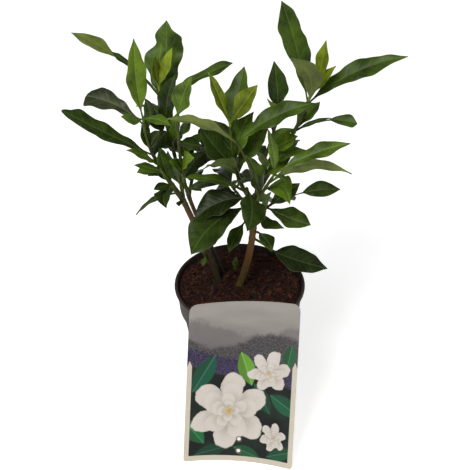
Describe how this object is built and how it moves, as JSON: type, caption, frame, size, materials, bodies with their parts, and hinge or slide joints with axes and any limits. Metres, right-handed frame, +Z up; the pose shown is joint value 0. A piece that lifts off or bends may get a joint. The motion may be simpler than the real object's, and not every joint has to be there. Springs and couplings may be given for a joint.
{
  "type": "potted gardenia",
  "caption": "Young evergreen shrub with glossy pointed leaves, standing in soil in a round plastic nursery pot with a leaning picture label.",
  "frame": {"origin": "middle of the pot's flat bottom, on the ground", "axes": "+Z up; -Y to the front, where the label leans; +X to the right seen from the front"},
  "size_m": [0.3006, 0.255, 0.3877],
  "materials": {
    "pot": "matt taupe-grey plastic, darker and browner at the lip and inside",
    "soil": "moist red-brown coir and peat",
    "bark": "thin brown bark",
    "leaf": "glossy dark green leaf, paler underneath",
    "young_leaf": "glossy bright green young leaf",
    "new_leaf": "soft lime green new leaf",
    "label": "printed plastic sheet with a pale border"
  },
  "bodies": {
    "root": {"pot": "pot", "label": "label", "soil": "soil", "main_stem": "bark", "left_stem": "bark", "thin_stem": "bark", "sucker": "young_leaf", "low_leaf_left": "leaf", "low_leaf_back": "leaf", "low_leaf_right": "leaf", "left_outer": "leaf", "left_outer_tip": "young_leaf", "left_back": "leaf", "left_back_tip": "new_leaf", "left_front": "leaf", "left_front_tip": "young_leaf", "left_low": "leaf", "left_twig": "leaf", "back_left": "leaf", "middle_top": "leaf", "middle_top_tip": "new_leaf", "middle_slim": "leaf", "crown": "leaf", "right_top": "leaf", "right_top_tip": "new_leaf", "right_front": "leaf", "right_front_tip": "young_leaf", "right_mid": "leaf", "right_back": "leaf", "right_back_tip": "new_leaf", "right_low": "leaf", "back_low": "leaf"}
  },
  "joints": []
}
